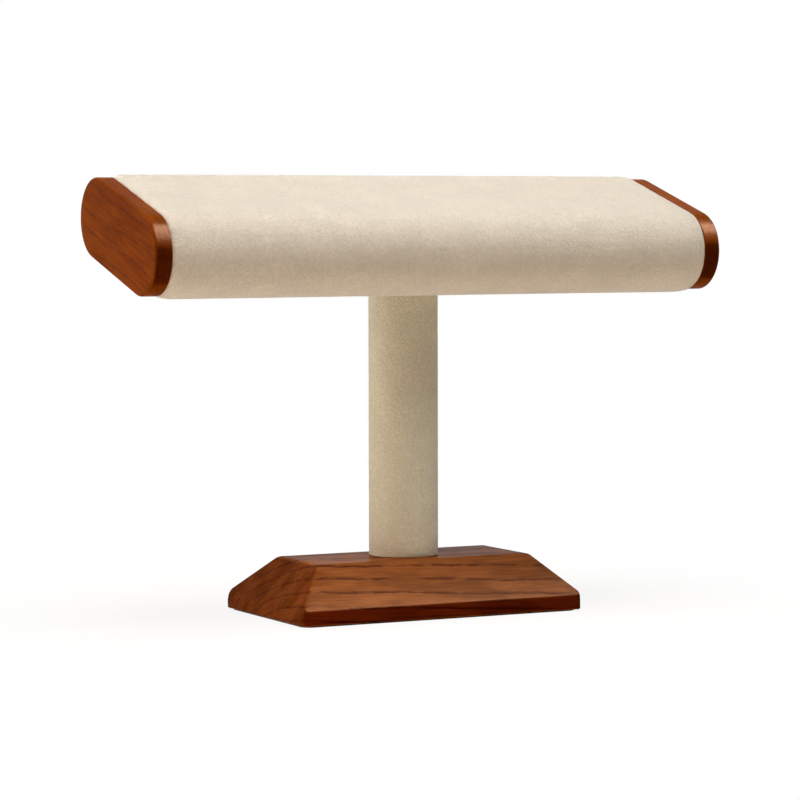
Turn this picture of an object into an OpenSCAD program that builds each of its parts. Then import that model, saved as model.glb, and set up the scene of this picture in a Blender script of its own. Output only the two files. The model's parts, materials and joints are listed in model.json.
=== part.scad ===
// Bracelet and watch display stand: a padded, fabric-wrapped bar with wooden end caps, leaning to the
// front on a fabric-wrapped post over a bevelled wooden base. One long bolt clamps base, post and bar.
// +X runs along the bar, -Y is the front, +Z is up. The origin is on the table, under the post's axis.

/* [Bar] */
// Length of the bar over both end caps
bar_len = 250; // [200:5:320]
// Width of an end cap, measured along its slope
cap_w = 79; // [68:1:90]
// Thickness of an end cap's section, which is also the diameter of its round edges
cap_h = 32; // [28:1:38]
// How far an end cap stands out along the bar
cap_t = 7; // [6:0.5:12]
// Eased radius on the outer edge of an end cap
cap_edge = 1; // [0.4:0.1:1.6]
// Lean of the bar to the front, in degrees
bar_tilt = 17; // [0:1:24]
// Distance of the bar's centre line ahead of the post's axis
bar_forward = 2.5; // [0:0.5:7]
// Height of the bar's centre line over the table
bar_rise = 152; // [120:0.5:200]

/* [Upholstery] */
// Thickness of the microfibre cloth
cloth_t = 0.8; // [0.5:0.1:1]
// Thickness of the foam sheet under the cloth of the bar
foam_t = 2.2; // [1.5:0.1:3]
// How far the cloth of the bar stands proud of the end caps
cloth_proud = 1.1; // [0.8:0.1:2]
// How far the cloth dips below the end caps' outline where it turns in
cloth_dip = 0.5; // [0.3:0.1:0.8]
// Length over which the padding thins towards an end cap
taper_len = 5.5; // [4:0.5:9]
// Width of the cloth turned in behind an end cap
turn_in = 8; // [5:0.5:9]
// Gap where two edges of the cloth or foam butt together
seam_gap = 0.3; // [0.2:0.05:0.6]
// Distance of the bar's seam behind its middle, on the underside
seam_back = 21.5; // [20:0.5:22.5]

/* [Post] */
// Diameter of the post over its cloth
post_d = 28; // [24:0.5:34]

/* [Base] */
// Length of the base along the bar
base_len = 126; // [110:1:160]
// Depth of the base from front to back
base_depth = 74; // [64:1:90]
// Height of the wooden block
base_h = 22; // [20:0.5:28]
// Height of the upright band below the bevels
band_h = 6; // [4:0.5:8]
// Length of the flat top
top_len = 95; // [80:1:100]
// Depth of the flat top
top_depth = 38; // [36:0.5:50]
// Eased radius on the base's outer edges; those round its flat top get half of it
base_edge = 2; // [0.6:0.1:2.4]
// Radius of the base's upright corners
base_corner = 4; // [1.5:0.5:5]
// Thickness of the felt under the base
felt_t = 0.5; // [0.4:0.1:2]
// Distance of the felt's edge inside the base's outline
felt_inset = 2; // [2:0.5:6]

/* [Fastening] */
// Diameter of the clamping bolt
bolt_d = 6; // [5:0.5:8]
// Wood left between the bolt's seat and the post
seat_wood = 10; // [8:0.5:12]
// Length of the threaded insert in the bar's core
insert_len = 15; // [10:0.5:16]
// Wall of the threaded insert, ribs included
insert_wall = 1.6; // [1.4:0.1:2]
// Diameter of the dowels that hold the end caps
dowel_d = 6; // [5:0.5:8]
// Depth of each dowel in the bar's core
dowel_hold = 16; // [10:1:24]
// Distance of each dowel from the bar's middle
dowel_spread = 20; // [15:0.5:22]
// Wood left between a dowel's hole and an end cap's outer face
cap_skin = 2; // [1.5:0.5:3]

/* [Fits] */
// Thickness of a glue line between layers
glue = 0.05; // [0.03:0.01:0.1]
// Radial clearance of the bolt in its holes
bolt_clear = 0.4; // [0.2:0.1:0.8]
// Radial clearance of the bolt in the insert's thread
thread_clear = 0.05; // [0.03:0.01:0.1]

/* [Hidden] */

// Stained ash, undyed microfibre, felt and plated steel
wood_colour = [0.45, 0.21, 0.09];
cloth_colour = [0.91, 0.87, 0.79];
felt_colour = [0.16, 0.11, 0.08];
foam_colour = [0.93, 0.93, 0.90];
board_colour = [0.79, 0.66, 0.48];
steel_colour = [0.72, 0.73, 0.75];
brass_colour = [0.80, 0.66, 0.34];

// Steps in each rounded corner of an outline
corner_steps = 7;
// Sides of full circles
round_sides = 96;
// Reach of a cut past the face that it opens
past = 1;

// Sections of the bar's layers, from the outside in, as half thicknesses
cloth_r = cap_h / 2 + cloth_proud;
foam_r = cloth_r - cloth_t - glue;
core_r = foam_r - foam_t - glue;
// Distance between the centres of the bar's two round edges, the same for every layer
edge_span = cap_w - cap_h;
// Places along the bar: the end caps' inner faces and the core's ends
cap_face = bar_len / 2 - cap_t;
core_face = cap_face - cloth_t - glue;
// Radius at which the tapered cloth reaches an end cap, and its blend into the straight cloth
dip_r = cap_h / 2 - cloth_dip;
taper_blend = 12;
fold_r = 0.6;

// Heights of the base, the bolt's seat and what is under it
base_top = felt_t + base_h;
seat_z = base_top - seat_wood;
flat_washer_t = 0.2 * bolt_d;
lock_washer_t = 0.26 * bolt_d;
washer_gap = 0.02;
head_top = seat_z - flat_washer_t - lock_washer_t - 2 * washer_gap;
head_h = bolt_d;
head_d = 1.65 * bolt_d;
socket_af = 0.83 * bolt_d;
socket_depth = 0.5 * bolt_d;
flat_washer_d = 2.2 * bolt_d;
counterbore_d = flat_washer_d + 2;
bolt_hole_d = bolt_d + 2 * bolt_clear;

// The insert stands upright in the core, so its mouth lies above the sloping underside
insert_d = bolt_d + 2 * insert_wall;
insert_base = core_under(insert_d / 2) + 0.3;
insert_top = insert_base + insert_len;
tip_room = 3;
bolt_tip = insert_top + tip_room / 3;

// The post's own section and the widest cut that may be made above it
post_core_d = post_d - 2 * cloth_t - 2 * glue;
sky = 2 * bar_rise;

// Height of the core's underside at a distance y behind the post's axis
function core_under(y) = bar_rise + (sin(bar_tilt) * (y + bar_forward) - core_r) / cos(bar_tilt);

function unit(v) = v / norm(v);

// An arc of radius r that rounds the corner b of the path a, b, c
function corner_arc(a, b, c, r) =
    let (
        u = unit(a - b),
        v = unit(c - b),
        half = acos(u * v) / 2,
        centre = b + unit(u + v) * r / sin(half),
        first = b + u * r / tan(half) - centre,
        turn = (180 - 2 * half) * sign(u[1] * v[0] - u[0] * v[1]),
        start = atan2(first[1], first[0])
    )
    [for (i = [0 : corner_steps]) centre + r * [cos(start + turn * i / corner_steps),
                                                sin(start + turn * i / corner_steps)]];

// A closed outline with a radius at each of its corners, 0 where the corner stays sharp
function eased(points, radii) =
    let (n = len(points))
    [for (i = [0 : n - 1]) each
        radii[i] > 0 ? corner_arc(points[(i + n - 1) % n], points[i], points[(i + 1) % n], radii[i])
                     : [points[i]]];

// The outline of a layer's half section along the bar, whose ends taper from radius r to radius end_r
function tapered_layer(r, end_r, half_len, fold) = eased(
    [[0, -half_len], [end_r, -half_len], [r, taper_len - cap_face],
     [r, cap_face - taper_len], [end_r, half_len], [0, half_len]],
    [0, fold, taper_blend, taper_blend, fold, 0]);

// The other half of a section, in reverse order, which closes the outline
function mirrored(points) = [for (i = [len(points) - 2 : -1 : 1]) [-points[i][0], points[i][1]]];

// Moves from the bar's own frame, centred on its centre line with Z across it, to its place on the post
module on_bar() {
    translate([0, -bar_forward, bar_rise]) rotate([bar_tilt, 0, 0]) children();
}

// A body with two flat faces and two round edges; half_section gives radius against place along X
module round_edged(half_section) {
    rotate([-90, -90, 0]) linear_extrude(edge_span, center = true)
        polygon(concat([for (i = [1 : len(half_section) - 2]) half_section[i]], mirrored(half_section)));
    for (turn = [0, 180])
        rotate([turn, 0, 0]) translate([0, edge_span / 2, 0]) rotate([0, 90, 0])
            rotate_extrude(angle = 180, $fn = round_sides) polygon(half_section);
}

// A slot along the bar where a layer's edges butt, on the underside behind the post
module bar_seam(r) {
    translate([-bar_len / 2, seam_back - seam_gap / 2, -r - past]) cube([bar_len, seam_gap, r]);
}

// The bolt's way through the base, the post or the bar
module bolt_way(from, to, d = bolt_hole_d) {
    translate([0, 0, from]) cylinder(d = d, h = to - from, $fn = round_sides);
}

// Everything above the bar's underside, which gives the post its sloping top
module above_post() {
    on_bar() translate([-post_d, -2 * post_d, -cloth_r]) cube([2 * post_d, 4 * post_d, sky]);
}

// A dowel's hole or peg along X, starting at the core's end face and running both ways
module dowel_place(side, row) {
    on_bar() translate([side * core_face, row * dowel_spread, 0]) rotate([0, side * 90, 0]) children();
}

// Plan of the base with eased corners, drawn in by an inset
module base_outline(inset) {
    polygon(eased(
        [[inset - base_len / 2, inset - base_depth / 2], [base_len / 2 - inset, inset - base_depth / 2],
         [base_len / 2 - inset, base_depth / 2 - inset], [inset - base_len / 2, base_depth / 2 - inset]],
        [for (i = [1 : 4]) base_corner]));
}

// Half the base seen from one side: an upright band, then a bevel up to the flat top
module bevel_outline(foot, top) {
    polygon(eased(
        [[-foot / 2, 0], [foot / 2, 0], [foot / 2, band_h], [top / 2, base_h], [-top / 2, base_h],
         [-foot / 2, band_h]],
        [base_edge, base_edge, base_edge, base_edge / 2, base_edge / 2, base_edge]));
}

// Solid ash block: the front view and the end view, cut from one blank with eased corners
module base_block() {
    color(wood_colour) difference() {
        translate([0, 0, felt_t]) intersection() {
            rotate([90, 0, 0]) linear_extrude(base_depth, center = true) bevel_outline(base_len, top_len);
            rotate([90, 0, 90]) linear_extrude(base_len, center = true) bevel_outline(base_depth, top_depth);
            linear_extrude(base_h) base_outline(0);
        }
        bolt_way(-past, base_top + past);
        bolt_way(-past, seat_z, counterbore_d);
    }
}

// Felt glued under the base, which also closes the bolt's recess
module base_felt() {
    color(felt_colour) linear_extrude(felt_t) base_outline(felt_inset);
}

// Long socket-head bolt from the base's underside into the insert in the bar
module clamp_bolt() {
    tip_ease = bolt_d / 8;
    color(steel_colour) difference() {
        rotate_extrude($fn = round_sides) polygon(
            [[0, head_top - head_h], [head_d / 2 - tip_ease, head_top - head_h],
             [head_d / 2, head_top - head_h + tip_ease], [head_d / 2, head_top], [bolt_d / 2, head_top],
             [bolt_d / 2, bolt_tip - tip_ease], [bolt_d / 2 - tip_ease, bolt_tip], [0, bolt_tip]]);
        translate([0, 0, head_top - head_h - past])
            cylinder(d = socket_af / cos(30), h = socket_depth + past, $fn = 6);
    }
}

// Split spring washer next to the bolt's head
module lock_washer() {
    split = 0.8;
    color(steel_colour) translate([0, 0, head_top + washer_gap]) difference() {
        cylinder(d = head_d, h = lock_washer_t, $fn = round_sides);
        bolt_way(-past, lock_washer_t + past);
        translate([0, -split / 2, -past]) rotate([-20, 0, 0]) cube([head_d, split, 4 * lock_washer_t]);
    }
}

// Flat washer that spreads the clamping force over the wood
module flat_washer() {
    color(steel_colour) difference() {
        translate([0, 0, seat_z - flat_washer_t]) cylinder(d = flat_washer_d, h = flat_washer_t, $fn = round_sides);
        bolt_way(seat_z - flat_washer_t - past, seat_z + past);
    }
}

// Drilled dowel, mitred on top to the slope of the bar
module post_core() {
    color(board_colour) difference() {
        translate([0, 0, base_top]) cylinder(d = post_core_d, h = bar_rise - base_top, $fn = round_sides);
        bolt_way(base_top - past, bar_rise);
        above_post();
    }
}

// Cloth sleeve of the post, whose edges butt along the back
module post_cover() {
    color(cloth_colour) difference() {
        translate([0, 0, base_top]) cylinder(d = post_d, h = bar_rise - base_top, $fn = round_sides);
        bolt_way(base_top - past, bar_rise + past, post_core_d + 2 * glue);
        translate([-seam_gap / 2, 0, base_top - past]) cube([seam_gap, post_d, sky]);
        above_post();
    }
}

// Milled core of the bar, with an upright hole for the insert and two dowel holes in each end
module bar_core() {
    core_ease = 1;
    section = eased(
        [[0, -core_face], [core_r, -core_face], [core_r, core_face], [0, core_face]],
        [0, core_ease, core_ease, 0]);
    color(board_colour) difference() {
        on_bar() round_edged(section);
        bolt_way(0, insert_top + tip_room, insert_d + 2 * glue);
        for (side = [-1, 1], row = [-1, 1])
            dowel_place(side, row) translate([0, 0, -dowel_hold - glue])
                cylinder(d = dowel_d + 2 * glue, h = dowel_hold + glue + past, $fn = round_sides);
    }
}

// Brass insert with ribs that grip the core
module bar_insert() {
    ribs = 6;
    pitch = insert_len / ribs;
    root = insert_d / 2 - 0.35 * insert_wall;
    flank = [for (i = [0 : ribs - 1]) each [[root, i * pitch], [insert_d / 2, (i + 0.5) * pitch]]];
    color(brass_colour) difference() {
        translate([0, 0, insert_base]) rotate_extrude($fn = round_sides)
            polygon(concat([[0, 0]], flank, [[root, insert_len], [0, insert_len]]));
        bolt_way(insert_base - past, insert_top + past, bolt_d + 2 * thread_clear);
    }
}

// Foam sheet wrapped round the core, thinned at both ends
module bar_foam() {
    end_r = dip_r - cloth_t - glue;
    color(foam_colour) difference() {
        on_bar() difference() {
            round_edged(tapered_layer(foam_r, end_r, core_face, 0));
            round_edged([[0, -bar_len], [core_r + glue, -bar_len], [core_r + glue, bar_len], [0, bar_len]]);
            bar_seam(foam_r);
        }
        bolt_way(0, bar_rise);
    }
}

// Microfibre cover of the bar: closed round the foam, with its ends turned in behind the end caps
module bar_cover() {
    lip_r = dip_r - cloth_t - turn_in;
    color(cloth_colour) difference() {
        on_bar() difference() {
            round_edged(tapered_layer(cloth_r, dip_r, cap_face, fold_r));
            round_edged(tapered_layer(cloth_r - cloth_t, dip_r - cloth_t, cap_face - cloth_t, 0));
            round_edged([[0, -bar_len], [lip_r, -bar_len], [lip_r, bar_len], [0, bar_len]]);
            bar_seam(cloth_r);
        }
        bolt_way(0, bar_rise);
    }
}

// Solid ash end cap with eased edges and two blind dowel holes; side is -1 on the left and 1 on the right
module end_cap(side) {
    inner_ease = 0.3;
    section = eased(
        [[0, 0], [cap_h / 2, 0], [cap_h / 2, cap_t], [0, cap_t]],
        [0, inner_ease, cap_edge, 0]);
    color(wood_colour) difference() {
        on_bar() rotate([0, 0, side < 0 ? 180 : 0]) translate([cap_face, 0, 0]) round_edged(section);
        for (row = [-1, 1])
            dowel_place(side, row) cylinder(d = dowel_d + 2 * glue, h = bar_len / 2 - cap_skin - core_face,
                                            $fn = round_sides);
    }
}

// Beech dowel with chamfered ends and straight glue flutes
module dowel(side, row) {
    ease = dowel_d / 8;
    out = bar_len / 2 - cap_skin - core_face - 4 * glue;
    flutes = 8;
    flute_r = dowel_d / 16;
    color(board_colour) dowel_place(side, row) difference() {
        rotate_extrude($fn = round_sides) polygon(
            [[0, -dowel_hold], [dowel_d / 2 - ease, -dowel_hold], [dowel_d / 2, ease - dowel_hold],
             [dowel_d / 2, out - ease], [dowel_d / 2 - ease, out], [0, out]]);
        for (i = [0 : flutes - 1])
            rotate([0, 0, i * 360 / flutes]) translate([dowel_d / 2, 0, -dowel_hold - past])
                cylinder(r = flute_r, h = dowel_hold + out + 2 * past, $fn = 24);
    }
}

base_block();
base_felt();
clamp_bolt();
lock_washer();
flat_washer();
post_core();
post_cover();
bar_core();
bar_insert();
bar_foam();
bar_cover();
end_cap(-1);  // end_cap_left
end_cap(1);  // end_cap_right
dowel(-1, -1);  // dowel_left_front
dowel(-1, 1);  // dowel_left_back
dowel(1, -1);  // dowel_right_front
dowel(1, 1);  // dowel_right_back
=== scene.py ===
# %% [markdown]
# # A bracelet and watch display stand
# The stand is a padded bar on a post over a bevelled wooden base. The bar and the post are wrapped in a
# cream microfibre that feels like suede, and the bar ends in two caps of stained ash. This lesson dresses
# the stand's measured frame: it makes the cloth with Geometry Nodes, eases the edges of the wood, and
# gives each piece a material that starts from what the real one is made of.

# %% Load the frame
import json
import math
from functools import partial

import bmesh
import bpy
from mathutils import Matrix, Vector

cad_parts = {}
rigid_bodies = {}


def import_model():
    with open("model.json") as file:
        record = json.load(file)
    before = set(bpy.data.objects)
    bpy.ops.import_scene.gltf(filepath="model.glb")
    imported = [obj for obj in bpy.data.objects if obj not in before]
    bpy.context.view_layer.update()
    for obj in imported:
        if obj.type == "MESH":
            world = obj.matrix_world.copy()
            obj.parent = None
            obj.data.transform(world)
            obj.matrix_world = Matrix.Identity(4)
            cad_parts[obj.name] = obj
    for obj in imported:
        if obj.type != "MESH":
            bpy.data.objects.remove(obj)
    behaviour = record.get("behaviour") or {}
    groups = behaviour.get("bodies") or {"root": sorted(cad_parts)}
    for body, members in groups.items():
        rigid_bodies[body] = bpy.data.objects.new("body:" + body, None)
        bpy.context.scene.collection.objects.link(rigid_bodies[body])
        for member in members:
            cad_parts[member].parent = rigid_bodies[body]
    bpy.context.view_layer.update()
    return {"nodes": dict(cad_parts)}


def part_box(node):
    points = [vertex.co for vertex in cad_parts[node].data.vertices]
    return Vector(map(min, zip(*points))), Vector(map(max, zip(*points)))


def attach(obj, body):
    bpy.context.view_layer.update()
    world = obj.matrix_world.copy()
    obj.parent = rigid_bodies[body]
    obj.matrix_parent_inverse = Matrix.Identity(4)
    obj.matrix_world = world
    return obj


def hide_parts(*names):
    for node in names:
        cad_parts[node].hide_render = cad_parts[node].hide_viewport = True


for thing in list(bpy.data.objects):
    bpy.data.objects.remove(thing)
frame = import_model()
MM = 0.001
print("nodes:", ", ".join(sorted(frame["nodes"])))

# %% [markdown]
# The stand's main sizes come from the frame. The bar leans to the front by a known angle. Its outline is
# two straight runs and two half circles, so the height and depth of a piece's box give both the radius of
# its round edges and the distance between their centres.

# %% Measure the bar and the post
BAR_TILT = math.radians(17)
BAND_HEIGHT = 6 * MM


def outline_of(node):
    """The round edges' radius, the span between their centres and the middle of a piece of the bar."""
    low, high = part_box(node)
    depth = high.y - low.y
    height = high.z - low.z
    span = (depth - height) / (math.cos(BAR_TILT) - math.sin(BAR_TILT))
    return (height - span * math.sin(BAR_TILT)) / 2, span, (low + high) / 2


cap_radius, edge_span, bar_middle = outline_of("end_cap_left")
cloth_radius = outline_of("bar_cover")[0]
cap_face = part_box("bar_cover")[1].x
post_low, post_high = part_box("post_cover")
post_radius = (post_high.x - post_low.x) / 2
base_low, base_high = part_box("base_block")
print(f"bar: edge radius {cloth_radius / MM:.1f} mm, span {edge_span / MM:.1f} mm")
print(f"caps: edge radius {cap_radius / MM:.1f} mm")

# %% [markdown]
# The camera comes first. It is a long lens a little over a metre away and almost level with the base, so
# the bar's two ends look nearly the same size. The photograph was taken from the left, and the camera was
# turned very slightly about its own axis.

# %% Camera
CAMERA_TURN = math.radians(-27.016)
CAMERA_RISE = math.radians(3.264)
CAMERA_ROLL = math.radians(-0.119)
CAMERA_AWAY = 1.3091
NEAREST_SEEN = 0.05
AIM_RIGHT = -0.0013
AIM_HEIGHT = 0.0852
LENS = 145.68


def place_camera():
    """A camera on a sphere round the stand, given by its turn, rise and roll."""
    right = Vector((math.cos(CAMERA_TURN), math.sin(CAMERA_TURN), 0))
    level = Vector((math.sin(CAMERA_TURN), -math.cos(CAMERA_TURN), 0))
    back = level * math.cos(CAMERA_RISE) + Vector((0, 0, math.sin(CAMERA_RISE)))
    aim = right * AIM_RIGHT + Vector((0, 0, AIM_HEIGHT))
    lens = bpy.data.cameras.new("camera")
    lens.lens = LENS
    lens.clip_start = NEAREST_SEEN
    camera = bpy.data.objects.new("camera", lens)
    axes = Matrix((right, back.cross(right), back)).transposed() @ Matrix.Rotation(CAMERA_ROLL, 3, "Z")
    camera.matrix_world = Matrix.Translation(aim + back * CAMERA_AWAY) @ axes.to_4x4()
    bpy.context.scene.collection.objects.link(camera)
    bpy.context.scene.camera = camera
    return camera


print("camera at", [round(v, 3) for v in place_camera().matrix_world.translation])

# %% [markdown]
# A few small helpers serve every node tree, for shapes and for materials alike. One takes a colour as the
# hex value that a painter would pick and turns it into the linear light that Blender counts in. Another
# adds a node, sets what it is told to and links its sockets, and the rest are short names for common nodes.

# %% Helpers for node trees


def paint(code):
    """An sRGB hex colour as linear red, green, blue and alpha."""
    shares = [int(code[i:i + 2], 16) / 255 for i in (1, 3, 5)]
    return [s / 12.92 if s <= 0.04045 else ((s + 0.055) / 1.055) ** 2.4 for s in shares] + [1]


def add(tree, kind, settings=None, sockets=None):
    """Adds a node. A socket is named or numbered, and takes a value, a socket or another node's output."""
    node = tree.nodes.new(kind)
    for name, value in (settings or {}).items():
        setattr(node, name, value)
    for key, source in (sockets or {}).items():
        target = node.inputs[key] if isinstance(key, int) else next(
            s for s in node.inputs if s.name == key and s.enabled)
        if isinstance(source, bpy.types.Node):
            source = next(s for s in source.outputs if s.enabled)
        if isinstance(source, bpy.types.NodeSocket):
            tree.links.new(source, target)
        else:
            target.default_value = source
    return node


def sums(tree, operation, *values):
    """One step of arithmetic on numbers, fields or shader values."""
    return add(tree, "ShaderNodeMath", {"operation": operation}, dict(enumerate(values))).outputs[0]


def between(tree, value, low, high):
    """The value, held between two limits."""
    return add(tree, "ShaderNodeClamp", {}, {"Value": value, "Min": low, "Max": high}).outputs[0]


def fading(tree, value, near, far, at_near, at_far):
    """A smooth change from one number to another while the value runs from near to far."""
    return add(tree, "ShaderNodeMapRange", {"interpolation_type": "SMOOTHSTEP"}, {
        "Value": value, "From Min": near, "From Max": far, "To Min": at_near, "To Max": at_far}).outputs[0]


def new_material(name):
    """A material with an empty node tree."""
    material = bpy.data.materials.new(name)
    material.use_nodes = True
    material.node_tree.nodes.clear()
    return material, material.node_tree


print("cream #E1D3BA is", [round(v, 3) for v in paint("#E1D3BA")])

# %% [markdown]
# The stand is lit as in a small studio. A wide soft lamp overhead makes the top of the bar bright, lamps at
# the left and behind it round the post, and a faint one at the right keeps the far side from going flat.
# The light from above and behind is a little cool and the light from the sides warm, so the cream cloth
# looks white on top and tan in the shade. A pale table throws light back up under the bar. A panel high
# at the front right is seen only in gloss and draws the highlight on the caps' rims. The white backdrop is
# seen by the camera and in gloss, but doesn't light the stand.

# %% Studio
FLOOR_REACH = 30
TABLE_REACH = 0.44
TABLE_EDGE = 1.6 * TABLE_REACH
HAZE_START = 0.06
HAZE_END = 0.3
WHITE_NEAR = 0.86
CENTRE = Vector((0, 0, 0.1))
# Each lamp's width and height, place, power and colour
LAMPS = {
    "overhead": ((0.7, 0.7), Vector((0, -0.2, 1.05)), 14.1, "#F1F5FF"),
    "left": ((1.2, 0.6), Vector((-1.1, -0.1, 0.4)), 3.6, "#FFD0A8"),
    "back_left": ((0.9, 0.6), Vector((-0.9, 0.7, 0.4)), 8.2, "#E4F2FF"),
    "right": ((1.2, 0.6), Vector((1.1, -0.1, 0.4)), 0.9, "#FFDFB0")}
GLOSS_PANEL = (0.9, 0.8)
GLOSS_PLACE = Vector((0.54, -0.48, 1.23))
GLOSS_POWER = 2000
GLOSS_COLOUR = "#FFCEA9"


def studio_lamp(name, size, place, power, colour):
    """A rectangular lamp at a place, turned to the stand."""
    lamp = bpy.data.lights.new(name, "AREA")
    lamp.shape = "RECTANGLE"
    lamp.size, lamp.size_y = size
    lamp.energy = power
    lamp.color = paint(colour)[:3]
    holder = bpy.data.objects.new(name, lamp)
    towards = (CENTRE - place).to_track_quat("-Z", "Y")
    holder.matrix_world = Matrix.Translation(place) @ towards.to_matrix().to_4x4()
    bpy.context.scene.collection.objects.link(holder)
    return holder


def seen_as_backdrop(tree):
    """1 where the camera, gloss or glass looks, and 0 for the light that falls on things."""
    path = add(tree, "ShaderNodeLightPath").outputs
    looked_at = sums(tree, "MAXIMUM", path["Is Camera Ray"], path["Is Glossy Ray"])
    return sums(tree, "MAXIMUM", looked_at, path["Is Transmission Ray"])


def make_world():
    """A world that is white to look at and gives no light."""
    world = bpy.data.worlds.new("studio")
    world.use_nodes = True
    tree = world.node_tree
    tree.nodes.clear()
    white = add(tree, "ShaderNodeBackground", {}, {
        "Color": paint("#FFFFFF"), "Strength": seen_as_backdrop(tree)})
    add(tree, "ShaderNodeOutputWorld", {}, {"Surface": white})
    bpy.context.scene.world = world


def white_table():
    """Pale floor, bright near the stand, which shows the camera most of the backdrop's white."""
    material, tree = new_material("pale_table")
    place = add(tree, "ShaderNodeTexCoord").outputs["Object"]
    away = add(tree, "ShaderNodeVectorMath", {"operation": "LENGTH"}, {0: place}).outputs["Value"]
    near = fading(tree, away, TABLE_REACH, TABLE_EDGE, 1, 0)
    colour = add(tree, "ShaderNodeMix", {"data_type": "RGBA"}, {
        "Factor": near, "A": paint("#5A5856"), "B": paint("#FDF2E4")})
    matt = add(tree, "ShaderNodeBsdfDiffuse", {}, {"Color": colour})
    white = add(tree, "ShaderNodeEmission", {}, {"Color": paint("#FFFFFF"), "Strength": 1})
    clear = fading(tree, away, HAZE_START, HAZE_END, WHITE_NEAR, 1)
    share = sums(tree, "MULTIPLY", seen_as_backdrop(tree), clear)
    both = add(tree, "ShaderNodeMixShader", {}, {0: share, 1: matt, 2: white})
    add(tree, "ShaderNodeOutputMaterial", {}, {"Surface": both})
    return material


def lay_floor():
    """One wide square of table, which the stand is placed on and isn't part of it."""
    mesh = bpy.data.meshes.new("floor")
    corners = [(x * FLOOR_REACH, y * FLOOR_REACH, 0) for x, y in ((-1, -1), (1, -1), (1, 1), (-1, 1))]
    mesh.from_pydata(corners, [], [(0, 1, 2, 3)])
    mesh.materials.append(white_table())
    floor = bpy.data.objects.new("floor", mesh)
    bpy.context.scene.collection.objects.link(floor)


make_world()
lay_floor()
for name, (size, place, power, colour) in LAMPS.items():
    studio_lamp(name, size, place, power, colour)
panel = studio_lamp("gloss_panel", GLOSS_PANEL, GLOSS_PLACE, GLOSS_POWER, GLOSS_COLOUR)
panel.visible_diffuse = False
bpy.context.scene.view_settings.view_transform = "Standard"

# %% [markdown]
# Stained ash is a ring-porous wood: each year it starts with rows of wide pores, which drink more of the
# stain and show as broken dark lines, and ends with dense pale wood. The rings are tubes round the heart of
# the tree, so one field of distances from that heart gives the lines on every face at once: straight along
# the grain, and curved on a cut across it. A picture or a flat noise would not meet at the edges. End grain
# drinks the most, so a face that the fibres run into is darker. The base's colour also darkens a little
# towards its right end. The upright band on its long sides is painted darker than the bevels: that is
# painted shade, for faces turned away from the light overhead. The finish is a thin satin oil, not a thick
# varnish: it mirrors little of the white room, and the colour stays deep.

# %% Stained ash
# Streaks along the grain: their length and width, the detail of the noise and its seed
SWAY = (60 * MM, 18 * MM, 1.0, 3.0)
RAGGED = (7 * MM, 2 * MM, 2.0, 9.0)
BREAKS = (13 * MM, 2.5 * MM, 2.0, 13.0)
PORES = (4 * MM, 0.4 * MM, 1.0, 1.0)
FIBRES = (22 * MM, 0.7 * MM, 3.0, 5.0)
CLOUDS = (30 * MM, 9 * MM, 2.0, 7.0)
# What the noise turns into: two of its values, and the result at the one and at the other
BREAKS_TO = (0.38, 0.50, 0.1, 1)
PORES_TO = (0.55, 0.70, 0, 1)
FIBRES_TO = (0.3, 0.7, 0.80, 1.14)
CLOUDS_TO = (0.35, 0.65, 0, 1)
# A ring as a share of its width: where its dark line is darkest and where it ends, and how ragged it is
LINE_PEAK = 0.08
LINE_END = 0.30
RAGGED_SHARE = 0.2
# Outside the dark lines, only this share of the pores is open
PORES_BETWEEN = 0.25
PORE_INK = 0.8
PORE_COLOUR = "#37160A"
PORE_DEPTH = 0.1 * MM
PORE_BUMP = 0.3
PORE_ROUGH = 0.2
INK_AT_ENDS = 0.55
BOARD_REACH = 60 * MM
# The upright band's painted shade: the blur of its top edge, the facings where it starts and is full, and
# its tint
BAND_SHADE_BLUR = 0.4 * MM
BAND_SHADE_FACES = (0.6, 0.9)
BAND_SHADE_TINT = "#A76F61"


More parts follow.
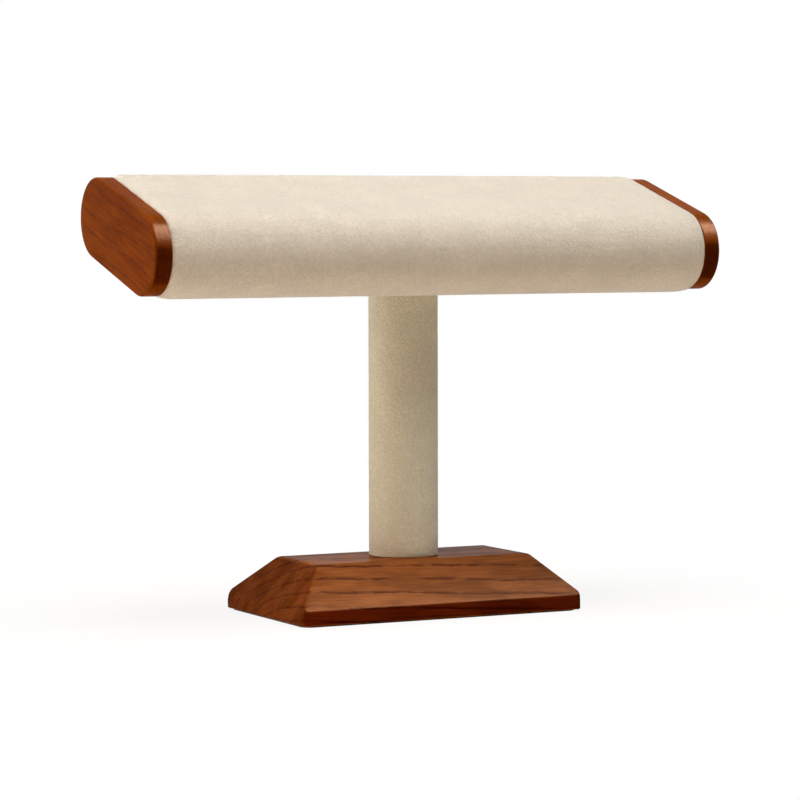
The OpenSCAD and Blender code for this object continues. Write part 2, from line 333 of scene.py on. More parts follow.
def stained_ash(name, looks, heart, fibres_along, shade_top=None):
    """Oiled ash. looks: its colours and numbers. heart: a point on the tree's axis. shade_top: a height,
    below which upright faces get painted shade.
    """
    material, tree = new_material(name)
    maths = partial(sums, tree)
    where = add(tree, "ShaderNodeTexCoord").outputs
    from_heart = add(tree, "ShaderNodeVectorMath", {"operation": "SUBTRACT"}, {
        0: where["Object"], 1: heart})
    lying = Vector(fibres_along).rotation_difference(Vector((1, 0, 0))).to_euler()
    grain = add(tree, "ShaderNodeMapping", {"vector_type": "POINT"}, {
        "Vector": from_heart, "Rotation": lying})

    def streaks(length, width, detail, seed):
        """Noise drawn out along the grain, with a typical length and width in metres."""
        drawn = add(tree, "ShaderNodeMapping", {"vector_type": "POINT"}, {
            "Vector": grain, "Location": (seed, seed, seed), "Scale": (1 / length, 1 / width, 1 / width)})
        return add(tree, "ShaderNodeTexNoise", {}, {
            "Vector": drawn, "Scale": 1.0, "Detail": detail, "Roughness": 0.6}).outputs[0]

    def mixed(factor, first, second, blend="MIX"):
        """One colour laid over another by a factor."""
        return add(tree, "ShaderNodeMix", {"data_type": "RGBA", "blend_type": blend}, {
            "Factor": factor, "A": first, "B": second})

    # Rings: each one starts with a dark line of wide pores, and the line has gaps
    across = add(tree, "ShaderNodeVectorMath", {"operation": "MULTIPLY"}, {0: grain, 1: (0, 1, 1)})
    away = add(tree, "ShaderNodeVectorMath", {"operation": "LENGTH"}, {0: across}).outputs["Value"]
    sway = maths("MULTIPLY", maths("SUBTRACT", streaks(*SWAY), 0.5), looks["sway"])
    ragged = maths("MULTIPLY", maths("SUBTRACT", streaks(*RAGGED), 0.5), RAGGED_SHARE)
    first = maths("MULTIPLY_ADD", away, 1 / looks["ring"], looks["shift"])
    season = maths("FRACT", maths("ADD", first, maths("ADD", sway, ragged)))
    rises = fading(tree, season, 0.0, LINE_PEAK, 0, 1)
    falls = fading(tree, season, LINE_PEAK, LINE_END, 1, 0)
    spring = maths("MULTIPLY", rises, falls)
    unbroken = fading(tree, streaks(*BREAKS), *BREAKS_TO)
    line = maths("MULTIPLY", spring, unbroken)

    # Body of the wood: its pores and fibres, broad pale and deep parts, and a change of value from left to
    # right
    pores = fading(tree, streaks(*PORES), *PORES_TO)
    open_share = maths("MULTIPLY_ADD", spring, 1 - PORES_BETWEEN, PORES_BETWEEN)
    open_pores = maths("MULTIPLY", pores, open_share)
    fibres = fading(tree, streaks(*FIBRES), *FIBRES_TO)
    place = add(tree, "ShaderNodeSeparateXYZ", {}, {0: where["Object"]}).outputs
    left_to_right = fading(tree, place["X"], -BOARD_REACH, BOARD_REACH, *looks["drift"])
    clouds = fading(tree, streaks(*CLOUDS), *CLOUDS_TO)
    body = add(tree, "ShaderNodeHueSaturation", {}, {
        "Color": mixed(clouds, paint(looks["deep"]), paint(looks["pale"])),
        "Value": maths("MULTIPLY", fibres, left_to_right)})
    # Stain: it inks the lines and the open pores, and goes deepest into end grain
    run_in = add(tree, "ShaderNodeVectorMath", {"operation": "DOT_PRODUCT"}, {
        0: where["Normal"], 1: fibres_along}).outputs["Value"]
    end_grain = fading(tree, maths("ABSOLUTE", run_in), *looks["ends"], 0, 1)
    inked = maths("MULTIPLY", maths("MULTIPLY_ADD", end_grain, INK_AT_ENDS - 1, 1.0), looks["drawn"])
    ringed = mixed(maths("MULTIPLY", line, inked), body, paint(looks["line"]))
    stained = mixed(maths("MULTIPLY", open_pores, PORE_INK), ringed, paint(PORE_COLOUR))
    colour = mixed(end_grain, stained, paint(looks["end"]), "MULTIPLY")
    # Painted shade: the upright band low on the front and back is darkened, as for a face turned away from
    # the light overhead
    if shade_top is not None:
        facing = add(tree, "ShaderNodeSeparateXYZ", {}, {0: where["Normal"]}).outputs["Y"]
        low = fading(tree, place["Z"], shade_top - BAND_SHADE_BLUR, shade_top + BAND_SHADE_BLUR, 1, 0)
        upright = fading(tree, maths("ABSOLUTE", facing), *BAND_SHADE_FACES, 0, 1)
        colour = mixed(maths("MULTIPLY", low, upright), colour, paint(BAND_SHADE_TINT), "MULTIPLY")

    relief = add(tree, "ShaderNodeBump", {}, {
        "Height": maths("SUBTRACT", 1.0, open_pores), "Strength": PORE_BUMP, "Distance": PORE_DEPTH})
    wood = add(tree, "ShaderNodeBsdfPrincipled", {}, {
        "Base Color": colour, "Roughness": maths("MULTIPLY_ADD", open_pores, PORE_ROUGH, looks["rough"]),
        "Normal": relief, "Specular IOR Level": looks["mirror"]})
    add(tree, "ShaderNodeOutputMaterial", {}, {"Surface": wood})
    return material


print("a ring's dark line takes", LINE_END, "of the ring's width")

# %% [markdown]
# The base and the caps are cut from different boards. The base has its fibres along its length, tipped by
# three degrees, with wide rings and strong lines. The caps have theirs down the slope of the bar, with fine
# rings and faint lines. Where the tree's heart lies is different for each piece, so no two of them match.

# %% Ash of the base and of the caps
GRAIN_TIP = math.radians(3.1)
# ends: where end grain begins and is full, by how far a face looks along the fibres. ring: its width.
# drawn: how dark the lines are. drift: the colour's value at the left and right ends. mirror: the specular
# level
BASE_LOOKS = {
    "pale": "#9C5726", "deep": "#814416", "line": "#4E1C07", "end": "#C2B2A8", "ends": (0.4, 0.7),
    "ring": 5.45 * MM, "shift": 0.5, "sway": 0.45, "drawn": 0.95, "drift": (1.07, 0.72),
    "rough": 0.24, "mirror": 0.0014}
CAP_LOOKS = {
    "pale": "#823C05", "deep": "#733202", "line": "#582102", "end": "#AA8E95", "ends": (0.82, 0.92),
    "ring": 2.1 * MM, "shift": 0.0, "sway": 1.2, "drawn": 0.36, "drift": (1.0, 1.0),
    "rough": 0.24, "mirror": 0.003}
BASE_HEART = (0, -0.035, -0.075)
LEFT_HEART = (0.05, -0.01, 0.2)
RIGHT_HEART = (-0.05, -0.01, 0.2)
down_the_slope = (0, math.cos(BAR_TILT), math.sin(BAR_TILT))
along_the_base = (math.cos(GRAIN_TIP), 0, -math.sin(GRAIN_TIP))
base_ash = stained_ash("stained_ash_base", BASE_LOOKS, BASE_HEART, along_the_base, base_low.z + BAND_HEIGHT)
left_ash = stained_ash("stained_ash_left_cap", CAP_LOOKS, LEFT_HEART, down_the_slope)
right_ash = stained_ash("stained_ash_right_cap", CAP_LOOKS, RIGHT_HEART, down_the_slope)
print("the fibres of the caps run along", [round(v, 2) for v in down_the_slope])

# %% [markdown]
# Microfibre suede is a felt of very fine polyester threads, brushed until it has a short nap. The nap
# lies in tiny random swirls, so the cloth looks mottled and slightly wrinkled close up and has a pale bloom
# where it is seen at a low angle. It has no gloss. The swirls are a little under a millimetre wide: a noise
# that is bent by its own pattern draws them, as a faint change of colour and above all as height. A wider
# bent noise adds the thin curls that a fingertip leaves. The post shows more of the mottling than the bar.

# %% Microfibre
NAP_SWIRL = 0.8 * MM
NAP_HEIGHT = 0.32 * MM
NAP_BUMP = 0.9
CURL_SIZE = 4.2 * MM
CURL_THIN = 0.09
CURL_SHADE = -0.05
CURL_DENT = -0.5
FLAT_SHADE = 1.01
CLOUD_SIZE = 14 * MM
CLOUD_TO = (0.3, 0.7, 0.97, 1.02)


def microfibre(name, colour_code, mottling):
    """Brushed microfibre in one dye. mottling: the light of its darkest and its palest swirls."""
    material, tree = new_material(name)
    place = add(tree, "ShaderNodeTexCoord").outputs["Object"]
    maths = partial(sums, tree)

    def wisps(size, detail, bend):
        """Noise of a typical size in metres, bent by its own pattern."""
        return add(tree, "ShaderNodeTexNoise", {}, {
            "Vector": place, "Scale": 1 / size, "Detail": detail, "Roughness": 0.6,
            "Distortion": bend}).outputs[0]

    swirl = wisps(NAP_SWIRL, 3.0, 0.9)
    # Where a wide noise passes its middle value, it leaves a thin curl
    from_middle = maths("ABSOLUTE", maths("SUBTRACT", wisps(CURL_SIZE, 1.0, 1.8), 0.5))
    curl = fading(tree, from_middle, 0.0, CURL_THIN, 1, 0)
    mottle = fading(tree, swirl, 0.25, 0.75, *mottling)
    drift = fading(tree, wisps(CLOUD_SIZE, 2.0, 0.0), *CLOUD_TO)
    curled = maths("MULTIPLY_ADD", curl, CURL_SHADE, FLAT_SHADE)
    shaded = maths("MULTIPLY", maths("MULTIPLY", mottle, drift), curled)
    colour = add(tree, "ShaderNodeHueSaturation", {}, {
        "Color": paint(colour_code), "Value": shaded})
    bump = add(tree, "ShaderNodeBump", {}, {
        "Height": maths("MULTIPLY_ADD", curl, CURL_DENT, swirl), "Strength": NAP_BUMP,
        "Distance": NAP_HEIGHT})
    cloth = add(tree, "ShaderNodeBsdfPrincipled", {}, {
        "Base Color": colour, "Roughness": 0.95, "Specular IOR Level": 0.0, "Sheen Weight": 0.55,
        "Sheen Roughness": 0.3, "Sheen Tint": paint("#F0F3FF"), "Normal": bump})
    add(tree, "ShaderNodeOutputMaterial", {}, {"Surface": cloth})
    return material


bar_cloth = microfibre("microfibre_bar", "#E1D3BA", (0.91, 1.06))
# The post's cream is a darker, yellower copy of the bar's: painted shade for the post that stands under the
# bar
shaded_post_cloth = microfibre("microfibre_post_shaded", "#D9CFB1", (0.86, 1.10))
print("nap swirls are", round(NAP_SWIRL / MM, 2), "mm wide")

# %% [markdown]
# Both covers start as a flat grid of points, which a rule of Geometry Nodes wraps round its core. The rules
# share five steps: the grid, each point's distance from the seam, the valley where the two edges of the
# cloth butt, the slight unevenness of what lies under it, and the finish of the sheet. One more helper runs
# a rule and gives the sheet the thickness of the cloth.

# %% Helpers for sheets
CLOTH = 0.8 * MM
SEAM_GAP = 0.3 * MM
SEAM_DEPTH = 0.35 * MM
SEAM_WIDTH = 0.5 * MM
SEAM_CROWDING = 0.8
SHARP_ANGLE = math.radians(50)


def new_tree(name, inputs):
    """An empty Geometry Nodes tree with named inputs, given as name: (socket type, value)."""
    tree = bpy.data.node_groups.new(name, "GeometryNodeTree")
    for label, (kind, value) in inputs.items():
        socket = tree.interface.new_socket(label, in_out="INPUT", socket_type=kind)
        if value is not None:
            socket.default_value = value
    tree.interface.new_socket("Geometry", in_out="OUTPUT", socket_type="NodeSocketGeometry")
    return tree


def grow(name, tree, values, thickness):
    """Runs a tree on an empty mesh, gives the sheet its thickness inwards and returns a plain piece."""
    piece = bpy.data.objects.new(name, bpy.data.meshes.new(name))
    bpy.context.scene.collection.objects.link(piece)
    modifier = piece.modifiers.new("rule", "NODES")
    modifier.node_group = tree
    names = {s.name: s.identifier for s in tree.interface.items_tree if s.in_out == "INPUT"}
    for label, value in values.items():
        modifier[names[label]] = value
    wall = piece.modifiers.new("thickness", "SOLIDIFY")
    wall.thickness = thickness
    wall.offset = -1
    graph = bpy.context.evaluated_depsgraph_get()
    mesh = bpy.data.meshes.new_from_object(
        piece.evaluated_get(graph), preserve_all_data_layers=True, depsgraph=graph)
    piece.modifiers.clear()
    piece.data = mesh
    mesh.name = name
    mesh.set_sharp_from_angle(angle=SHARP_ANGLE)
    return piece


def unit_grid(tree, columns, rows):
    """A flat grid with each point's share of the way across, 0 to 1, and its row, -0.5 to 0.5."""
    grid = add(tree, "GeometryNodeMeshGrid", {}, {
        "Size X": 1.0, "Size Y": 1.0, "Vertices X": columns, "Vertices Y": rows})
    flat = add(tree, "ShaderNodeSeparateXYZ", {}, {0: add(tree, "GeometryNodeInputPosition")}).outputs
    return grid.outputs["Mesh"], sums(tree, "ADD", flat["X"], 0.5), flat["Y"]


def from_seam_on(tree, share, girth, gap):
    """The distance from the seam, with the grid's lines drawn closer together there."""
    wave = sums(tree, "SINE", sums(tree, "MULTIPLY", share, 2 * math.pi))
    crowded = sums(tree, "SUBTRACT", share, sums(tree, "MULTIPLY", wave, SEAM_CROWDING / (2 * math.pi)))
    usable = sums(tree, "SUBTRACT", girth, gap)
    return sums(tree, "MULTIPLY_ADD", crowded, usable, sums(tree, "MULTIPLY", gap, 0.5))


def seam_valley(tree, from_seam, girth, depth):
    """How deep the cloth dips where its two edges butt."""
    edge = sums(tree, "MINIMUM", from_seam, sums(tree, "SUBTRACT", girth, from_seam))
    near_seam = sums(tree, "EXPONENT", sums(tree, "DIVIDE", edge, -SEAM_WIDTH))
    return sums(tree, "MULTIPLY", near_seam, depth)


def unevenness(tree, where, scale, seed, height):
    """A slow rise and fall of the padding by a given height."""
    soft = add(tree, "ShaderNodeTexNoise", {"noise_dimensions": "4D"}, {
        "Vector": where, "W": seed, "Scale": scale, "Detail": 1.0}).outputs[0]
    return sums(tree, "MULTIPLY", sums(tree, "SUBTRACT", soft, 0.5), sums(tree, "MULTIPLY", height, 2.0))


def finish_sheet(tree, grid, placed, weave, cloth, flipped):
    """Moves the grid's points to their places and gives it its UV map, smooth shading and material."""
    shaped = add(tree, "GeometryNodeSetPosition", {}, {"Geometry": grid, "Position": placed})
    mapped = add(tree, "GeometryNodeStoreNamedAttribute", {"data_type": "FLOAT2", "domain": "CORNER"}, {
        "Geometry": shaped, "Name": "UVMap", "Value": weave})
    if flipped:
        mapped = add(tree, "GeometryNodeFlipFaces", {}, {"Mesh": mapped})
    smooth = add(tree, "GeometryNodeSetShadeSmooth", {}, {"Geometry": mapped})
    real = add(tree, "GeometryNodeRealizeInstances", {}, {"Geometry": smooth})
    dyed = add(tree, "GeometryNodeSetMaterial", {}, {"Geometry": real, "Material": cloth})
    add(tree, "NodeGroupOutput", {}, {0: dyed})


print("cloth is", round(CLOTH / MM, 1), "mm thick")

# %% [markdown]
# The cover of the bar is one sheet of cloth that goes once round the padding. Its two long edges butt
# together on the underside behind the post, and its ends turn in behind the caps. The grid is wrapped round
# the bar's outline, and the radius falls along a quarter ellipse where the cloth rolls over to the cap.
# Changing one input changes the whole sleeve.

# %% Cover of the bar
ROLL_LENGTH = 6.2 * MM
DIP = 0.5 * MM
TURN_IN = 8 * MM
SEAM_BEHIND = 21.5 * MM
UNEVEN_SCALE = 22.0
PUCKER_REACH = 7 * MM
# The pucker noise's scale round the bar, and how much slower it changes along it
PUCKER_SCALE = 170.0
PUCKER_DRAWN = 0.2


def sleeve_tree():
    """Wraps a grid round two flats and two round edges, tapers its ends and turns them in."""
    tree = new_tree("wrapped_bar", {
        "Half length": ("NodeSocketFloat", 0.1), "Edge span": ("NodeSocketFloat", 0.05),
        "Radius": ("NodeSocketFloat", 0.02), "Dip": ("NodeSocketFloat", 0.002),
        "Roll length": ("NodeSocketFloat", 0.006), "Turn in": ("NodeSocketFloat", 0.008),
        "Seam behind": ("NodeSocketFloat", 0.02), "Seam gap": ("NodeSocketFloat", 0.0003),
        "Seam depth": ("NodeSocketFloat", 0.0003), "Unevenness": ("NodeSocketFloat", 0.0001),
        "Ripple": ("NodeSocketFloat", 0.0001), "Seed": ("NodeSocketFloat", 0.0),
        "Tilt": ("NodeSocketFloat", 0.3), "Middle": ("NodeSocketVector", None),
        "Girth steps": ("NodeSocketInt", 240), "Length steps": ("NodeSocketInt", 160),
        "Cloth": ("NodeSocketMaterial", None)})
    entry = add(tree, "NodeGroupInput").outputs
    maths = partial(sums, tree)
    held = partial(between, tree)
    span = entry["Edge span"]
    grid, share, row = unit_grid(tree, entry["Girth steps"], entry["Length steps"])
    half_turn = maths("MULTIPLY", entry["Radius"], math.pi)
    half_girth = maths("ADD", span, half_turn)
    girth = maths("MULTIPLY", half_girth, 2.0)
    from_seam = from_seam_on(tree, share, girth, entry["Seam gap"])
    # The seam lies on the underside, a little in front of the back edge's centre
    half_span = maths("MULTIPLY", span, 0.5)
    seam_at = maths("ADD", half_girth, maths("SUBTRACT", half_span, entry["Seam behind"]))
    way = maths("FLOORED_MODULO", maths("ADD", from_seam, seam_at), girth)
    # The way round runs over the top flat, the back edge, the underside and the front edge
    top = held(way, 0.0, span)
    back = held(maths("SUBTRACT", way, span), 0.0, half_turn)
    past_back = maths("SUBTRACT", way, half_girth)
    under = held(past_back, 0.0, span)
    front = held(maths("SUBTRACT", past_back, span), 0.0, half_turn)
    centre = maths("SUBTRACT", maths("SUBTRACT", top, under), half_span)
    turned = maths("DIVIDE", maths("ADD", back, front), entry["Radius"])
    angle = maths("SUBTRACT", math.pi / 2, turned)
    # Along the bar, the lines are closer together at the ends
    whole = maths("ADD", entry["Half length"], entry["Turn in"])
    side = maths("SIGN", row)
    inner = maths("SUBTRACT", 1.0, maths("MULTIPLY", maths("ABSOLUTE", row), 2.0))
    spread = maths("SUBTRACT", 1.0, maths("MULTIPLY", inner, inner))
    along = maths("MULTIPLY", maths("MULTIPLY", spread, whole), side)
    to_fold = maths("SUBTRACT", entry["Half length"], maths("ABSOLUTE", along))
    place_x = held(along, maths("MULTIPLY", entry["Half length"], -1.0), entry["Half length"])
    left = maths("SUBTRACT", 1.0, held(maths("DIVIDE", to_fold, entry["Roll length"]), 0.0, 1.0))
    roll = maths("SQRT", maths("SUBTRACT", 1.0, maths("MULTIPLY", left, left)))
    turned_in = held(maths("MULTIPLY", to_fold, -1.0), 0.0, entry["Turn in"])
    fallen = maths("MULTIPLY", entry["Dip"], maths("SUBTRACT", 1.0, roll))
    # Near the seam both edges dip, and everywhere the padding is a little uneven
    valley = seam_valley(tree, from_seam, girth, entry["Seam depth"])
    spot = add(tree, "ShaderNodeCombineXYZ", {}, {0: along, 1: centre, 2: angle})
    uneven = unevenness(tree, spot, UNEVEN_SCALE, entry["Seed"], entry["Unevenness"])
    # Near the ends, where the cloth is pulled in, it puckers a little
    drawn_out = maths("MULTIPLY", along, PUCKER_DRAWN)
    spot = add(tree, "ShaderNodeCombineXYZ", {}, {0: drawn_out, 1: way, 2: 0.0})
    pulled = add(tree, "ShaderNodeTexNoise", {"noise_dimensions": "4D"}, {
        "Vector": spot, "W": maths("ADD", entry["Seed"], 5.0), "Scale": PUCKER_SCALE,
        "Detail": 0.0}).outputs[0]
    near_end = maths("EXPONENT", maths("DIVIDE", maths("MAXIMUM", to_fold, 0.0), -PUCKER_REACH))
    pucker = maths("MULTIPLY", maths("SUBTRACT", pulled, 0.5), near_end)
    puckers = maths("MULTIPLY", pucker, entry["Ripple"])
    inward = maths("ADD", maths("ADD", fallen, turned_in), valley)
    outward = maths("ADD", uneven, puckers)
    radius = maths("ADD", maths("SUBTRACT", entry["Radius"], inward), outward)
    y = maths("MULTIPLY_ADD", radius, maths("COSINE", angle), centre)
    z = maths("MULTIPLY", radius, maths("SINE", angle))
    wrapped = add(tree, "ShaderNodeCombineXYZ", {}, {0: place_x, 1: y, 2: z})
    tilted = add(tree, "ShaderNodeVectorRotate", {"rotation_type": "X_AXIS"}, {
        "Vector": wrapped, "Angle": entry["Tilt"]})
    placed = add(tree, "ShaderNodeVectorMath", {"operation": "ADD"}, {0: tilted, 1: entry["Middle"]})
    weave = add(tree, "ShaderNodeCombineXYZ", {}, {0: way, 1: along})
    finish_sheet(tree, grid, placed, weave, entry["Cloth"], flipped=True)
    return tree


bar_sleeve = grow("bar_microfibre_sleeve", sleeve_tree(), {
    "Half length": cap_face, "Edge span": edge_span, "Radius": cloth_radius,
    "Dip": cloth_radius - cap_radius + DIP, "Roll length": ROLL_LENGTH, "Turn in": TURN_IN,
    "Seam behind": SEAM_BEHIND, "Seam gap": SEAM_GAP, "Seam depth": SEAM_DEPTH, "Unevenness": 0.12 * MM,
    "Ripple": 0.4 * MM, "Seed": 4.0, "Tilt": BAR_TILT, "Middle": (0.0, bar_middle.y, bar_middle.z),
    "Girth steps": 240, "Length steps": 170,
    "Cloth": bar_cloth}, CLOTH)
print("bar sleeve has", len(bar_sleeve.data.polygons), "faces")

# %% [markdown]
# The post wears a second, smaller sleeve of the same cloth, its cream painted a little darker and yellower
# as shade. It stands on the flat top of the base, its edges butt at the back, and its top is cut to the
# slope of the bar, so it is higher at the back. The height of the sleeve at each point is therefore a share
# of the way up to the plane of the bar's underside, which the tree works out from the bar's middle, tilt
# and radius.

# %% Cover of the post
FOOT_GAP = 0.3 * MM
POST_UNEVEN_SCALE = 1.1
POST_UNEVEN_RISE = 2.5


def post_tree():
    """Wraps a grid round the post and cuts its top to the plane of the bar's underside."""
    tree = new_tree("wrapped_post", {
        "Radius": ("NodeSocketFloat", 0.014), "Foot": ("NodeSocketFloat", 0.02),
        "Seam gap": ("NodeSocketFloat", 0.0003), "Seam depth": ("NodeSocketFloat", 0.0003),
        "Unevenness": ("NodeSocketFloat", 0.0001), "Seed": ("NodeSocketFloat", 0.0),
        "Tilt": ("NodeSocketFloat", 0.3), "Bar radius": ("NodeSocketFloat", 0.017),
        "Middle": ("NodeSocketVector", None), "Round steps": ("NodeSocketInt", 120),
        "Height steps": ("NodeSocketInt", 90), "Cloth": ("NodeSocketMaterial", None)})
    entry = add(tree, "NodeGroupInput").outputs
    maths = partial(sums, tree)
    grid, share, row = unit_grid(tree, entry["Round steps"], entry["Height steps"])
    girth = maths("MULTIPLY", entry["Radius"], 2 * math.pi)
    from_seam = from_seam_on(tree, share, girth, entry["Seam gap"])
    valley = seam_valley(tree, from_seam, girth, entry["Seam depth"])
    angle = maths("ADD", maths("DIVIDE", from_seam, entry["Radius"]), math.pi / 2)
    cosine = maths("COSINE", angle)
    sine = maths("SINE", angle)
    up = maths("ADD", row, 0.5)
    spot = add(tree, "ShaderNodeCombineXYZ", {}, {
        0: cosine, 1: sine, 2: maths("MULTIPLY", up, POST_UNEVEN_RISE)})
    uneven = unevenness(tree, spot, POST_UNEVEN_SCALE, entry["Seed"], entry["Unevenness"])
    radius = maths("ADD", maths("SUBTRACT", entry["Radius"], valley), uneven)
    x = maths("MULTIPLY", radius, cosine)
    y = maths("MULTIPLY", radius, sine)
    # The underside's plane: its height under the bar's middle, and its rise towards the back
    middle = add(tree, "ShaderNodeSeparateXYZ", {}, {0: entry["Middle"]}).outputs
    drop = maths("DIVIDE", entry["Bar radius"], maths("COSINE", entry["Tilt"]))
    below = maths("SUBTRACT", middle["Z"], drop)
    rise = maths("MULTIPLY", maths("SUBTRACT", y, middle["Y"]), maths("TANGENT", entry["Tilt"]))
    top = maths("ADD", below, rise)
    z = maths("MULTIPLY_ADD", up, maths("SUBTRACT", top, entry["Foot"]), entry["Foot"])
    placed = add(tree, "ShaderNodeCombineXYZ", {}, {0: x, 1: y, 2: z})
    weave = add(tree, "ShaderNodeCombineXYZ", {}, {0: from_seam, 1: z})
    finish_sheet(tree, grid, placed, weave, entry["Cloth"], flipped=False)
    return tree


post_sleeve = grow("post_microfibre_sleeve", post_tree(), {
    "Radius": post_radius, "Foot": post_low.z + FOOT_GAP, "Seam gap": SEAM_GAP, "Seam depth": SEAM_DEPTH,
    "Unevenness": 0.06 * MM, "Seed": 2.0, "Tilt": BAR_TILT, "Bar radius": cloth_radius,
    "Middle": (0.0, bar_middle.y, bar_middle.z), "Cloth": shaded_post_cloth}, CLOTH)
print("post sleeve has", len(post_sleeve.data.polygons), "faces")

# %% [markdown]
# The base is one block of ash. Its shape needs only twelve corners: four at the foot, four where the band
# ends and the bevels start, and four round the flat top. Its look needs more, because someone sanded every
# edge, and most of all the four upright corners, so the light runs round them. The edges at the front are
# crisper than those at the sides and the back. A bevel does that, with a weight for each kind of edge, and
# a last cut opens the bolt's way through the middle.

# %% Base block
TOP_LENGTH = 95 * MM
TOP_DEPTH = 38 * MM
UPRIGHT_EASE = 4.0 * MM
FOOT_EASE = 1.2 * MM
RIDGE_EASE = 0.9 * MM
TOP_EASE = 0.5 * MM
HIP_EASE = 1.0 * MM
SOFT_FOOT_EASE = 1.5 * MM
SOFT_RIDGE_EASE = 2.6 * MM
SOFT_TOP_EASE = 1.6 * MM
SANDING_STEPS = 6
BOLT_HOLE = 3.4 * MM
RECESS = 7.6 * MM
SEAT_WOOD = 10 * MM
DRILL_SIDES = 64


def block_corners():
    """The corners of the block's three rectangles, each from the left front one anticlockwise."""
    levels = (
        (base_low.z, base_high.x, base_high.y),
        (base_low.z + BAND_HEIGHT, base_high.x, base_high.y),
        (base_high.z, TOP_LENGTH / 2, TOP_DEPTH / 2))
    return [(x * a, y * b, z) for z, a, b in levels for x, y in ((-1, -1), (1, -1), (1, 1), (-1, 1))]


def block_edge_ease(a, b):
    """How far the sanding cuts back an edge, by the levels of its ends. Corners 0 and 1 are in front."""
    kinds = {
        (0, 0): FOOT_EASE, (0, 1): UPRIGHT_EASE, (1, 1): RIDGE_EASE, (1, 2): HIP_EASE, (2, 2): TOP_EASE}
    if {a % 4, b % 4} != {0, 1}:
        kinds.update({(0, 0): SOFT_FOOT_EASE, (1, 1): SOFT_RIDGE_EASE, (2, 2): SOFT_TOP_EASE})
    return kinds[tuple(sorted((a // 4, b // 4)))]


def bolt_way():
    """A stepped cylinder that cuts the bolt's hole and its recess."""
    drill = bmesh.new()
    low = base_low.z - MM
    for radius, high in ((BOLT_HOLE, base_high.z + MM), (RECESS, base_high.z - SEAT_WOOD)):
        made = bmesh.ops.create_cone(
            drill, cap_ends=True, segments=DRILL_SIDES, radius1=radius, radius2=radius, depth=high - low)
        bmesh.ops.translate(drill, vec=(0, 0, (low + high) / 2), verts=made["verts"])
    mesh = bpy.data.meshes.new("bolt_way")
    drill.to_mesh(mesh)
    drill.free()
    return bpy.data.objects.new("bolt_way", mesh)


def sanded_block(material):
    """The ash block with its sanded edges and the bolt's way."""
    sides = [(4 * k + i, 4 * k + (i + 1) % 4, 4 * k + 4 + (i + 1) % 4, 4 * k + 4 + i)
             for k in (0, 1) for i in range(4)]
    mesh = bpy.data.meshes.new("ash_base")
    mesh.from_pydata(block_corners(), [], [(3, 2, 1, 0), (8, 9, 10, 11)] + sides)
    mesh.materials.append(material)
    weights = mesh.attributes.new("bevel_weight_edge", "FLOAT", "EDGE")
    for edge in mesh.edges:
        weights.data[edge.index].value = block_edge_ease(*edge.vertices) / UPRIGHT_EASE
    block = bpy.data.objects.new("ash_base", mesh)
    bpy.context.scene.collection.objects.link(block)
    sanding = block.modifiers.new("sanded_edges", "BEVEL")
    sanding.width = UPRIGHT_EASE
    sanding.segments = SANDING_STEPS
    sanding.limit_method = "WEIGHT"
    drill = bolt_way()
    bpy.context.scene.collection.objects.link(drill)
    cut = block.modifiers.new("bolt_way", "BOOLEAN")
    cut.operation = "DIFFERENCE"
    cut.object = drill
    cut.solver = "EXACT"
    cut.use_self = True
    flat = block.modifiers.new("flat_faces", "WEIGHTED_NORMAL")
    flat.keep_sharp = True
    mesh.shade_smooth()
    graph = bpy.context.evaluated_depsgraph_get()
    done = bpy.data.meshes.new_from_object(
        block.evaluated_get(graph), preserve_all_data_layers=True, depsgraph=graph)
    block.modifiers.clear()
    block.data = done
    bpy.data.objects.remove(drill)
    return block


ash_base = sanded_block(base_ash)
print("base has", len(ash_base.data.polygons), "faces")

# %% [markdown]
# The rest of the stand keeps the shapes of its frame: the two caps, the felt, and the pieces inside. They
# need only their materials. Felt is matt and dark, the raw beech of the core, post and dowels is pale, and
# the bolt is zinc-plated steel in a turned brass insert.

# %% Plain materials


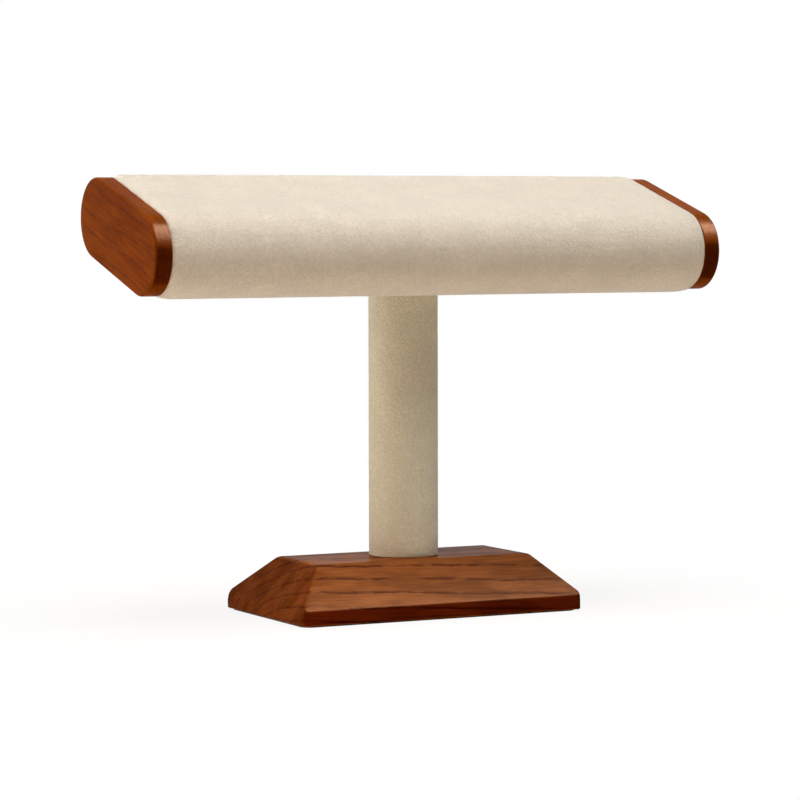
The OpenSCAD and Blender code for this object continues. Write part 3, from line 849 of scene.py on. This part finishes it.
def plain(name, colour_code, grit, **settings):
    """One finish with a little grain, whose size in metres is grit."""
    material, tree = new_material(name)
    place = add(tree, "ShaderNodeTexCoord").outputs["Object"]
    speck = add(tree, "ShaderNodeTexNoise", {}, {"Vector": place, "Scale": 1 / grit, "Detail": 3.0})
    value = add(tree, "ShaderNodeMapRange", {}, {"Value": speck.outputs[0], "To Min": 0.85, "To Max": 1.12})
    colour = add(tree, "ShaderNodeHueSaturation", {}, {"Color": paint(colour_code), "Value": value})
    bump = add(tree, "ShaderNodeBump", {}, {
        "Height": speck.outputs[0], "Strength": 0.3, "Distance": grit / 4})
    sockets = {key.replace("_", " "): value for key, value in settings.items()}
    finish = add(tree, "ShaderNodeBsdfPrincipled", {}, {"Base Color": colour, "Normal": bump, **sockets})
    add(tree, "ShaderNodeOutputMaterial", {}, {"Surface": finish})
    return material


felt = plain("wool_felt", "#3A2A20", 0.4 * MM, Roughness=1.0, Specular_IOR_Level=0.0, Sheen_Weight=0.3)
foam = plain("foam_sheet", "#F2F1EC", 0.7 * MM, Roughness=0.9)
beech = plain("raw_beech", "#D9B98E", 1.6 * MM, Roughness=0.7)
steel = plain("zinc_plated_steel", "#C9CCD0", 1.2 * MM, Metallic=1.0, Roughness=0.3)
brass = plain("turned_brass", "#D3B063", 1.0 * MM, Metallic=1.0, Roughness=0.32)
finishes = {
    "end_cap_left": left_ash, "end_cap_right": right_ash, "base_felt": felt, "bar_foam": foam,
    "post_core": beech, "bar_core": beech, "clamp_bolt": steel, "lock_washer": steel, "flat_washer": steel,
    "bar_insert": brass, **{n: beech for n in frame["nodes"] if n.startswith("dowel")}}
for node, material in finishes.items():
    mesh = frame["nodes"][node].data
    mesh.materials.clear()
    mesh.materials.append(material)
print("finished", len(finishes), "pieces of the frame")

# %% [markdown]
# Last, each new piece is tied to the stand, and the piece of the frame that it stands for is hidden.

# %% Tie the pieces to the frame
for piece, node, slot in (
        (bar_sleeve, "bar_cover", "bar_microfibre"),
        (post_sleeve, "post_cover", "post_microfibre"),
        (ash_base, "base_block", "stained_ash")):
    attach(piece, "root")
    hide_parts(node)
